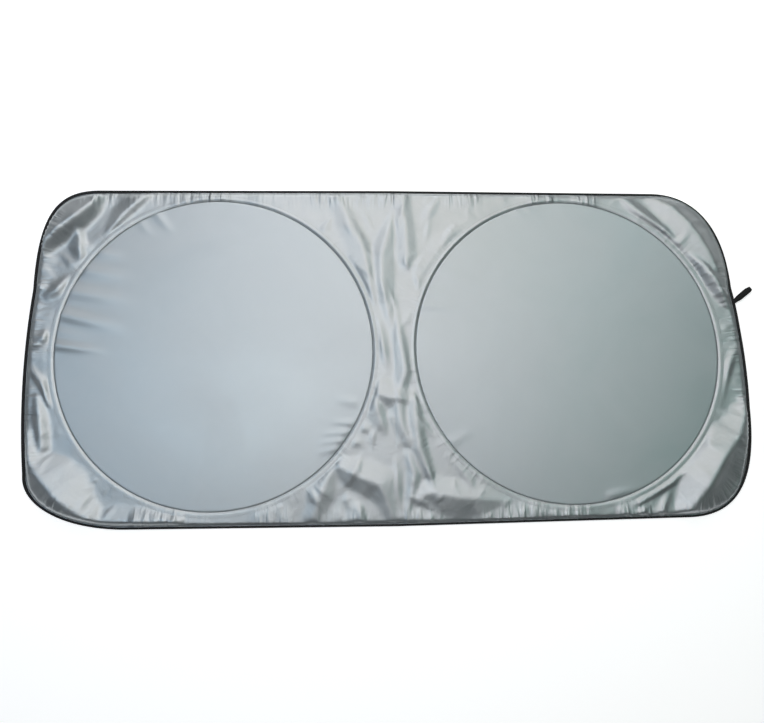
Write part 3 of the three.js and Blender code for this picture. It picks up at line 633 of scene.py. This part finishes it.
left_disc = disc_cloth("left_disc_cloth", -1)
right_disc = disc_cloth("right_disc_cloth", 1)
print("discs:", len(left_disc.data.polygons), "faces each")


# %% [markdown]
# ## Tapes: sleeves, binding and elastic
# These are strips that run along a line: the sleeve behind each wire, the black tape folded over the
# raw edge, and the band of the loop. A strip is lofted: one section is placed again and again along
# its line and the sections are joined. Its UV map runs along the strip, so a weave can follow it.

# %% Loft a strip
def loft(name, sections, closed):
    """Sections are lists of points. The strip is closed into a ring, or capped at its two ends."""
    sections = np.asarray(sections, float)
    count, around = sections.shape[:2]
    spans = count if closed else count - 1
    faces, uvs = [], []
    steps = np.linalg.norm(np.diff(sections[:, 0], axis=0, append=sections[:1, 0]), axis=1)
    along = np.r_[0, np.cumsum(steps)] * MM
    girth = np.linalg.norm(np.diff(sections[0], axis=0, append=sections[0][:1]), axis=1)
    across = np.r_[0, np.cumsum(girth)] * MM
    for i in range(spans):
        for j in range(around):
            a, b = i * around, (i + 1) % count * around
            k = (j + 1) % around
            faces.append((a + j, a + k, b + k, b + j))
            uvs.append([(along[i], across[j]), (along[i], across[j + 1]),
                        (along[i + 1], across[j + 1]), (along[i + 1], across[j])])
    if not closed:
        last = (count - 1) * around
        faces += [tuple(range(around))[::-1], tuple(last + j for j in range(around))]
        uvs += [[(0, 0)] * around, [(0, 0)] * around]
    piece = make_mesh(name, sections.reshape(-1, 3), faces)
    layer = piece.data.uv_layers.new(name="strip")
    layer.data.foreach_set("uv", np.array([uv for face in uvs for uv in face]).ravel())
    turn_outwards(piece)
    return piece


# %% [markdown]
# ### Sleeves
# Seen from below, a bias strip lies over each wire like a gutter. It carries the shade on the floor,
# so its lowest line is flat.

# %% Sleeves
def sleeve_strip(name, side):
    inner = HOOP_RADIUS - TUNNEL_RADIUS - INNER_ALLOWANCE
    outer = HOOP_RADIUS + TUNNEL_RADIUS + OUTER_ALLOWANCE
    top = SLEEVE_THICKNESS + TUNNEL_RADIUS
    half_turn = np.linspace(0, np.pi, 9)
    gutter = [(TUNNEL_RADIUS * math.cos(t), top - TUNNEL_RADIUS * math.sin(t)) for t in half_turn]
    upper = [(HOOP_RADIUS + dx, z) for dx, z in gutter]
    wide = (TUNNEL_RADIUS + SLEEVE_THICKNESS) / TUNNEL_RADIUS
    lower = [(HOOP_RADIUS + dx * wide, top - (top - z) * wide) for dx, z in gutter]
    lower = [(r, min(z, top - SLEEVE_THICKNESS)) for r, z in lower]
    profile = [(outer, top)] + upper + [(inner, top), (inner, top - SLEEVE_THICKNESS)]
    profile += lower[::-1] + [(outer, top - SLEEVE_THICKNESS)]
    sections = []
    for turn in np.linspace(0, 2 * np.pi, 301)[:-1]:
        sections.append([(*on_circle(side, r, turn), max(z, 0.0)) for r, z in profile])
    return loft(name, sections, True)


left_sleeve = sleeve_strip("left_sleeve_strip", -1)
right_sleeve = sleeve_strip("right_sleeve_strip", 1)
print("sleeves:", len(left_sleeve.data.polygons), "faces each")

# %% [markdown]
# ### Edge binding
# The tape is folded over the cloth with one leaf above and one below. Along the two long edges and
# at the upper right corner the slack cloth rolls over the tape, so less of the upper leaf shows there.

# %% Edge binding
BINDING_STEP = 5


def binding_tape():
    left, right = walk(left_line, BINDING_STEP), walk(right_line, BINDING_STEP)
    stations = np.vstack([left[0][:-1], right[0][:-1]])
    inward = np.vstack([left[1][:-1], right[1][:-1]])
    top, thick = BINDING_HEIGHT, BINDING_THICKNESS
    sections = []
    for point, direction in zip(stations, inward):
        lift = float(edge_lift(point[0], point[1]))
        leaf = float(leaf_width(point[0], point[1]))
        profile = [
            (BINDING_WIDTH, 0.0), (1.2, 0.0), (0.4, 0.25), (0.05, 0.75),
            (0.05, top - 0.75), (0.4, top - 0.25), (1.2, top),
            (leaf - 0.3, top), (leaf, top - 0.2), (leaf, top - thick),
            (thick, top - thick), (thick, thick), (BINDING_WIDTH, thick),
        ]
        sections.append([(*(point + inset * direction), z + lift) for inset, z in profile])
    return loft("binding_tape", sections, True)


binding = binding_tape()
print("binding:", len(binding.data.polygons), "faces")

# %% [markdown]
# ### Elastic loop
# The loop is one band doubled back on itself. It leaves the back of the binding, bends round at its
# tip and comes back over the front, where its end is sewn down.

# %% Elastic loop
def loop_path():
    lower = ELASTIC_THICKNESS / 2
    upper = lower + ELASTIC_THICKNESS + 2 * SEWING_GAP + BINDING_HEIGHT
    bend = (LOOP_OPENING + ELASTIC_THICKNESS) / 2
    middle = bend + lower
    tip = LOOP_LENGTH - bend - ELASTIC_THICKNESS / 2
    turns = np.linspace(-math.pi / 2, math.pi / 2, 21)
    path = [(x, lower) for x in np.linspace(-LOOP_OVERLAP, tip, 16)[:-1]]
    path += [(tip + bend * math.cos(t), middle + bend * math.sin(t)) for t in turns]
    for t in np.linspace(0, 1, 17)[1:]:
        path.append((tip + (2 - tip) * t, middle + bend + (upper - middle - bend) * smooth(t)))
    path += [(x, upper) for x in np.linspace(2, -LOOP_OVERLAP, 5)[1:]]
    return np.array(path)


def elastic_band():
    path = loop_path()
    tangent = np.gradient(path, axis=0)
    tangent /= np.linalg.norm(tangent, axis=1)[:, None]
    half, thin = ELASTIC_WIDTH / 2, ELASTIC_THICKNESS / 2
    rim = [
        (-half, 0.0), (-half + 0.5, -thin), (half - 0.5, -thin),
        (half, 0.0), (half - 0.5, thin), (-half + 0.5, thin),
    ]
    cos_a, sin_a = math.cos(LOOP_ANGLE), math.sin(LOOP_ANGLE)
    sections = []
    for (x, z), (tx, tz) in zip(path, tangent):
        section = []
        narrow = 0.62 + 0.38 * smooth((x + 2) / 16) - 0.3 * smooth((x - LOOP_LENGTH + 9) / 9)
        for across, out in rim:
            across *= narrow
            px, pz = x - out * tz, z + out * tx
            section.append((
                loop_root[0] + px * cos_a - across * sin_a,
                loop_root[1] + px * sin_a + across * cos_a,
                pz,
            ))
        sections.append(section)
    return loft("elastic_band", sections, False)


elastic = elastic_band()
print("elastic loop:", len(elastic.data.polygons), "faces")


# %% [markdown]
# ### Stitches
# The thread shows as rows of short stitches: one row along the binding and one on each side of every
# wire. One stitch is modelled as a squashed ball, and copies of it are set along each seam. Blender
# gives the ball's faces in a changing order, so they are sorted.

# %% One stitch
STITCH_LENGTH, STITCH_WIDTH, STITCH_STEP, STITCH_LIFT = 2.5, 0.5, 3.4, 0.1
FROM_LEAF, FROM_SEAM, FROM_FOOT, STEEPEST_STEP = 2, 0.7, 1.2, 2
bpy.ops.mesh.primitive_uv_sphere_add(segments=6, ring_count=4, radius=0.5 * MM)
stitch = bpy.context.object
stitch.name = "stitch"
stitch.scale = (STITCH_LENGTH, STITCH_WIDTH, STITCH_WIDTH)
bpy.ops.object.transform_apply(location=False, rotation=False, scale=True)
stitch_points = np.array([tuple(v.co) for v in stitch.data.vertices]) / MM
stitch_faces = sorted(tuple(face.vertices) for face in stitch.data.polygons)
bpy.data.objects.remove(stitch)
print("one stitch:", len(stitch_faces), "faces")


# %% Rows of stitches
def top_of(piece):
    """A function that gives the height of a piece's upper side at a place."""
    depsgraph = bpy.context.evaluated_depsgraph_get()
    tree = BVHTree.FromObject(piece, depsgraph)

    def height(x, y):
        hit = tree.ray_cast(Vector(((x + SHIFT_X) * MM, y * MM, 0.2)), Vector((0, 0, -1)))[0]
        return hit.z / MM if hit is not None else None

    return height


def stitch_row(places, headings, height):
    points, faces = [], []
    for (x, y), heading in zip(places, headings):
        ahead = np.array([math.cos(heading), math.sin(heading)]) * STITCH_LENGTH / 2
        back, front = height(x - ahead[0], y - ahead[1]), height(x + ahead[0], y + ahead[1])
        if back is None or front is None or abs(front - back) > STEEPEST_STEP:
            continue
        slope = (front - back) / STITCH_LENGTH
        turned = stitch_points @ np.array([
            (math.cos(heading), math.sin(heading), slope),
            (-math.sin(heading), math.cos(heading), 0),
            (0, 0, 1),
        ])
        faces += [tuple(n + len(points) * len(stitch_points) for n in face) for face in stitch_faces]
        points.append(turned + (x, y, (back + front) / 2 + STITCH_LIFT))
    return np.vstack(points), faces


def thread_along_binding():
    """One row that follows the tape's upper leaf, a little inside its free edge."""
    places, headings = [], []
    for line in (left_line, right_line):
        points, inward = walk(line, STITCH_STEP)
        for point, direction in zip(points[:-1], inward[:-1]):
            places.append(point + direction * (leaf_width(*point) - FROM_LEAF))
            headings.append(math.atan2(-direction[0], direction[1]))
    return make_mesh("binding_thread", *stitch_row(places, headings, top_of(binding)))


def thread_around_hoop(name, side):
    places, headings = [], []
    for radius in (SEAM_RADIUS + FROM_SEAM, RIDGE_FOOT - FROM_FOOT):
        for turn in np.arange(0, 2 * math.pi, STITCH_STEP / radius):
            places.append(on_circle(side, radius, turn))
            headings.append(turn + math.pi / 2)
    return make_mesh(name, *stitch_row(places, headings, top_of(surround)))


binding_thread = thread_along_binding()
left_thread = thread_around_hoop("left_hoop_thread", -1)
right_thread = thread_around_hoop("right_hoop_thread", 1)
threads = (binding_thread, left_thread, right_thread)
print("thread:", [len(piece.data.polygons) for piece in threads], "faces")

# %% [markdown]
# ## Material helpers
# Every finish is procedural. Small helpers add nodes and join them, so that each material below reads
# as a list of what the surface has.

# %% Node helpers
def new_material(name):
    material = bpy.data.materials.new(name)
    material.use_nodes = True
    return material, material.node_tree, material.node_tree.nodes["Principled BSDF"]


def give(node, **values):
    """Values that name a property of the node set it, and the others set the input of that name."""
    for key, value in values.items():
        if hasattr(node, key):
            setattr(node, key, value)
        else:
            node.inputs[key.replace("_", " ")].default_value = value
    return node


def add(tree, kind, **values):
    return give(tree.nodes.new(kind), **values)


def link(tree, output, target):
    tree.links.new(output, target)


def calculate(tree, operation, *values):
    """A Math node. Each value is a plain number or what another node puts out."""
    node = add(tree, "ShaderNodeMath", operation=operation)
    for entry, value in zip(node.inputs, values):
        if isinstance(value, (int, float)):
            entry.default_value = value
        else:
            link(tree, value, entry)
    return node.outputs[0]


def remap(tree, value, before=(0, 1), after=(0, 1), kind="LINEAR"):
    """A Map Range node, which turns one span of values into another."""
    node = add(tree, "ShaderNodeMapRange", interpolation_type=kind, From_Min=before[0],
               From_Max=before[1], To_Min=after[0], To_Max=after[1])
    link(tree, value, node.inputs["Value"])
    return node


def tones_between(tree, value, dark, light, start=0.0, end=1.0):
    """Colours from dark to light as the value goes from start to end."""
    ramp = add(tree, "ShaderNodeValToRGB")
    for element, place, colour in zip(ramp.color_ramp.elements, (start, end), (dark, light)):
        element.position, element.color = place, (*colour, 1)
    link(tree, value, ramp.inputs["Fac"])
    return ramp.outputs["Color"]


def noise(tree, vector, **values):
    node = add(tree, "ShaderNodeTexNoise", **values)
    link(tree, vector, node.inputs["Vector"])
    return node


def stretched_noise(tree, vector, scale, **values):
    """A noise pattern that is finer along one axis than along another."""
    stretch = add(tree, "ShaderNodeMapping", Scale=scale)
    link(tree, vector, stretch.inputs["Vector"])
    return noise(tree, stretch.outputs["Vector"], Scale=1.0, Detail=1.0, **values).outputs["Fac"]


def start_group(name, number, default, outputs):
    """An empty group that takes a vector and one number, and puts out the named values."""
    group = bpy.data.node_groups.new(name, "ShaderNodeTree")
    group.interface.new_socket("Vector", in_out="INPUT", socket_type="NodeSocketVector")
    entry = group.interface.new_socket(number, in_out="INPUT", socket_type="NodeSocketFloat")
    entry.default_value = default
    for output in outputs:
        group.interface.new_socket(output, in_out="OUTPUT", socket_type="NodeSocketFloat")
    return group, group.nodes.new("NodeGroupInput"), group.nodes.new("NodeGroupOutput")


# %% [markdown]
# A shared effect is a node group. The weave of a cloth is two sets of fine threads that cross, and it
# shows on the silver cloth, the sleeves, the tape, the elastic and the thread, each at its own scale.

# %% Weave group
def weave_group():
    group, enter, leave = start_group("weave", "Threads", 300, ["Height"])
    waves = []
    for direction in ("X", "Y"):
        wave = add(group, "ShaderNodeTexWave", wave_type="BANDS", bands_direction=direction,
                   Distortion=0.4, Detail=1.0)
        link(group, enter.outputs["Vector"], wave.inputs["Vector"])
        link(group, enter.outputs["Threads"], wave.inputs["Scale"])
        waves.append(wave.outputs["Fac"])
    link(group, calculate(group, "MAXIMUM", *waves), leave.inputs["Height"])
    return group


WEAVE = weave_group()


# %% [markdown]
# Crumpled coated cloth is covered in small creases of many sizes. The group adds soft dents to a finer
# network of creases and gives both as one height, and the dents alone as a mask.

# %% Crinkle group
def crinkle_group():
    group, enter, leave = start_group("crinkle", "Size", 20, ["Height", "Mask"])
    vector, size = enter.outputs["Vector"], enter.outputs["Size"]
    dents = noise(group, vector, Detail=3.0, Roughness=0.5, Distortion=0.6)
    link(group, size, dents.inputs["Scale"])
    creases = noise(group, vector, noise_type="RIDGED_MULTIFRACTAL", Detail=2.0)
    link(group, calculate(group, "MULTIPLY", size, 3.1), creases.inputs["Scale"])
    height = calculate(group, "MULTIPLY_ADD", creases.outputs["Fac"], 0.12, dents.outputs["Fac"])
    link(group, height, leave.inputs["Height"])
    link(group, dents.outputs["Fac"], leave.inputs["Mask"])
    return group


CRINKLE = crinkle_group()

# %% [markdown]
# Beside a seam the cloth is drawn into fine gathers that stand across it. Their group reads what the
# cloth carries at each point: the nearest place on the seam, and in Z the distance from it.

# %% Gather group
def gather_group():
    group, enter, leave = start_group("gathers", "Reach", 0.02, ["Height"])
    vector = enter.outputs["Vector"]
    ripples = stretched_noise(group, vector, (95, 95, 16), Roughness=0.5, Distortion=0.3)
    groups = stretched_noise(group, vector, (11, 11, 0))
    some = remap(group, groups, before=(0.38, 0.58), kind="SMOOTHSTEP").outputs["Result"]
    apart = add(group, "ShaderNodeSeparateXYZ")
    link(group, vector, apart.inputs["Vector"])
    distance = calculate(group, "ABSOLUTE", apart.outputs["Z"])
    fade = remap(group, distance, after=(1, 0), kind="SMOOTHSTEP")
    link(group, enter.outputs["Reach"], fade.inputs["From Max"])
    masked = calculate(group, "MULTIPLY", some, fade.outputs["Result"])
    link(group, calculate(group, "MULTIPLY", ripples, masked), leave.inputs["Height"])
    return group


GATHER = gather_group()


def use_group(tree, group, vector, **values):
    node = add(tree, "ShaderNodeGroup", node_tree=group)
    link(tree, vector, node.inputs["Vector"])
    return give(node, **values)


def bump(tree, height, strength, distance, before=None):
    node = add(tree, "ShaderNodeBump", Strength=strength, Distance=distance)
    link(tree, height, node.inputs["Height"])
    if before is not None:
        link(tree, before, node.inputs["Normal"])
    return node.outputs["Normal"]


# %% [markdown]
# ## Silver cloth
# The cloth is woven thread under a thin metallic coat. It mirrors only very softly, so it is part
# metal with a wide highlight. The coat's tone and gloss vary a little where the cloth was creased.

# %% Silver cloth material
def silver_cloth(name, tones, gloss_range, crease, crease_size, seams=()):
    material, tree, shader = new_material(name)
    place = add(tree, "ShaderNodeTexCoord").outputs["Object"]
    crinkle = use_group(tree, CRINKLE, place, Size=crease_size)
    weave = use_group(tree, WEAVE, place, Threads=260.0)
    dents = crinkle.outputs["Mask"]
    link(tree, tones_between(tree, dents, *tones, 0.3, 0.7), shader.inputs["Base Color"])
    gloss = remap(tree, dents, before=(0.3, 0.7), after=gloss_range)
    link(tree, gloss.outputs["Result"], shader.inputs["Roughness"])
    normal = bump(tree, crinkle.outputs["Height"], crease, 0.004)
    for seam, reach, high in seams:
        place_on_seam = add(tree, "ShaderNodeAttribute", attribute_name=seam).outputs["Vector"]
        gathered = use_group(tree, GATHER, place_on_seam, Reach=reach)
        normal = bump(tree, gathered.outputs["Height"], 1.0, high, normal)
    link(tree, bump(tree, weave.outputs["Height"], 0.08, 0.0002, normal), shader.inputs["Normal"])
    give(shader, Metallic=0.85, Specular_IOR_Level=0.5)
    return material


slack_silver = silver_cloth(
    "slack_silver_cloth", ((0.515, 0.55, 0.57), (0.585, 0.612, 0.625)), (0.48, 0.56), 0.3, 22,
    [("band", 0.045, 0.006), ("hoop", 0.03, 0.0015)])
taut_silver = silver_cloth(
    "taut_silver_cloth", ((0.51, 0.555, 0.58), (0.57, 0.61, 0.635)), (0.5, 0.58), 0.05, 6)


# %% [markdown]
# ## Sleeve cloth, black tape and elastic
# The sleeve shows the matt back of the cloth. The tape and the elastic are matt black, told apart by
# their surface: a close weave on the tape, and a coarser and deeper one on the elastic.

# %% Tape materials
def tape_material(name, colour, threads, strength, rough, sheen):
    material, tree, shader = new_material(name)
    place = add(tree, "ShaderNodeTexCoord").outputs["UV"]
    weave = use_group(tree, WEAVE, place, Threads=threads)
    worn = noise(tree, place, Scale=60.0, Detail=4.0).outputs["Fac"]
    dark, light = [c * 0.8 for c in colour], [c * 1.35 for c in colour]
    link(tree, tones_between(tree, worn, dark, light), shader.inputs["Base Color"])
    link(tree, bump(tree, weave.outputs["Height"], strength, 0.0004), shader.inputs["Normal"])
    give(shader, Roughness=rough, Sheen_Weight=sheen)
    return material


sleeve_cloth = tape_material("sleeve_cloth", (0.30, 0.32, 0.33), 180.0, 0.3, 0.7, 0.1)
black_tape = tape_material("black_tape", (0.010, 0.010, 0.011), 150.0, 0.5, 0.85, 0.05)
grey_thread = tape_material("grey_thread", (0.30, 0.32, 0.33), 400.0, 0.2, 0.6, 0.1)
black_thread = tape_material("black_thread", (0.02, 0.02, 0.021), 400.0, 0.2, 0.6, 0.1)
black_elastic = tape_material("black_elastic", (0.008, 0.008, 0.008), 90.0, 0.7, 0.9, 0.03)

# %% [markdown]
# ## Spring steel
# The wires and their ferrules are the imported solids. They lie inside the sleeves, and each keeps its
# shape and gets a drawn steel finish.

# %% Steel
def spring_steel():
    material, tree, shader = new_material("spring_steel")
    place = add(tree, "ShaderNodeTexCoord").outputs["Object"]
    drawn = noise(tree, place, Scale=900.0, Detail=3.0)
    gloss = remap(tree, drawn.outputs["Fac"], after=(0.22, 0.4))
    link(tree, gloss.outputs["Result"], shader.inputs["Roughness"])
    give(shader, Base_Color=(0.42, 0.42, 0.43, 1), Metallic=1.0)
    return material


steel = spring_steel()
for node in ("left_hoop", "right_hoop", "left_ferrule", "right_ferrule"):
    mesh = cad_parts[node].data
    mesh.materials.clear()
    mesh.materials.append(steel)

# %% [markdown]
# ## Where each piece belongs
# Each new piece rides on the body of the imported model, stands for the solid that it replaces and gets
# its material.

# %% Assign
def dress(piece, material, node):
    piece.data.materials.clear()
    piece.data.materials.append(material)
    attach(piece, "root")
    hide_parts(node)


for thread, material in zip(threads, (black_thread, grey_thread, grey_thread)):
    thread.data.materials.append(material)
    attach(thread, "root")

dress(surround, slack_silver, "surround_panel")
for disc, node in ((left_disc, "left_disc"), (right_disc, "right_disc")):
    dress(disc, taut_silver, node)
for sleeve, node in ((left_sleeve, "left_sleeve"), (right_sleeve, "right_sleeve")):
    dress(sleeve, sleeve_cloth, node)
dress(binding, black_tape, "edge_binding")
dress(elastic, black_elastic, "elastic_loop")

# %% [markdown]
# ## Floor, light and camera
# The photograph looks down on the shade from a little below and left of its middle. Its background is
# plain white, so the floor glows a little to the camera, in reflections and through clear things.
# Its own colour is white too, and it still takes the shadow.

# %% Floor
FLOOR_WHITE, FLOOR_GLOW = 0.92, 0.58
bpy.ops.object.select_all(action="DESELECT")
bpy.ops.mesh.primitive_plane_add(size=12, location=(0, 0, -0.0004))
floor = bpy.context.object
floor.name = "floor"
floor_material, tree, shader = new_material("white_floor")
white = (FLOOR_WHITE, FLOOR_WHITE, FLOOR_WHITE, 1)
give(shader, Base_Color=white, Roughness=0.9, Emission_Color=(1, 1, 1, 1))
path = add(tree, "ShaderNodeLightPath")
seen = calculate(tree, "MAXIMUM", path.outputs["Is Camera Ray"], path.outputs["Is Glossy Ray"])
seen = calculate(tree, "MAXIMUM", seen, path.outputs["Is Transmission Ray"])
link(tree, calculate(tree, "MULTIPLY", seen, FLOOR_GLOW), shader.inputs["Emission Strength"])
floor.data.materials.append(floor_material)


# %% [markdown]
# The light is that of a pale room: a low window beyond the upper edge gives the folds their dark and
# light slopes, and a soft ceiling of seven lamps, bluer at the left and greener at the right, gives
# each disc its tint.

# %% Lamps and world
def soft_lamp(name, place, target, size, power, colour):
    data = bpy.data.lights.new(name, "AREA")
    data.shape, data.size, data.size_y, data.energy = "RECTANGLE", size[0], size[1], power
    data.color = colour
    lamp = bpy.data.objects.new(name, data)
    bpy.context.collection.objects.link(lamp)
    lamp.location = place
    lamp.rotation_euler = (Vector(target) - Vector(place)).to_track_quat("-Z", "Y").to_euler()
    return lamp


soft_lamp("window", (-0.2, 1.8, 1.0), (0, 0, 0), (1.6, 0.7), 12.6, (1, 1, 1))
ceiling = [
    (-1.3, 0, 5.4, (0.6, 0.8, 1)),
    (-0.45, 0.1, 6.3, (0.98, 1, 0.96)),
    (-0.45, 1.1, 5.2, (0.93, 0.93, 1)),
    (0.4, 0.1, 4.6, (1, 0.87, 0.94)),
    (0.4, 1.1, 2.8, (1, 0.78, 0.5)),
    (1.25, -0.1, 1.8, (0.4, 1, 0.78)),
    (1.25, 1.1, 5.5, (0.83, 1, 1)),
]
for number, (x, y, power, colour) in enumerate(ceiling, 1):
    soft_lamp(f"ceiling_{number}", (x, y, 1.9), (x / 2, y / 2, 0), (0.8, 0.9), power, colour)
world = bpy.data.worlds.new("studio")
bpy.context.scene.world = world
world.use_nodes = True
give(world.node_tree.nodes["Background"], Color=(0.62, 0.66, 0.70, 1), Strength=0.03)
bpy.context.scene.view_settings.view_transform = "Standard"

# %% [markdown]
# The camera was fitted to the two hoops of the photograph, which are true circles. Its place counts
# from between the hoops, 1.3 m above the floor.

# %% Camera
LENS, SENSOR = 30.157, 36
CAMERA_X, CAMERA_Y, CAMERA_Z = SHIFT_X - 94.15, HOOP_OFFSET_Y - 230.95, 1297.18
CAMERA_TURN = (9.098, -2.855, -0.975)
camera_data = bpy.data.cameras.new("camera")
camera_data.lens, camera_data.sensor_width = LENS, SENSOR
camera = bpy.data.objects.new("camera", camera_data)
bpy.context.collection.objects.link(camera)
camera.location = (CAMERA_X * MM, CAMERA_Y * MM, CAMERA_Z * MM)
camera.rotation_euler = [math.radians(a) for a in CAMERA_TURN]
bpy.context.scene.camera = camera
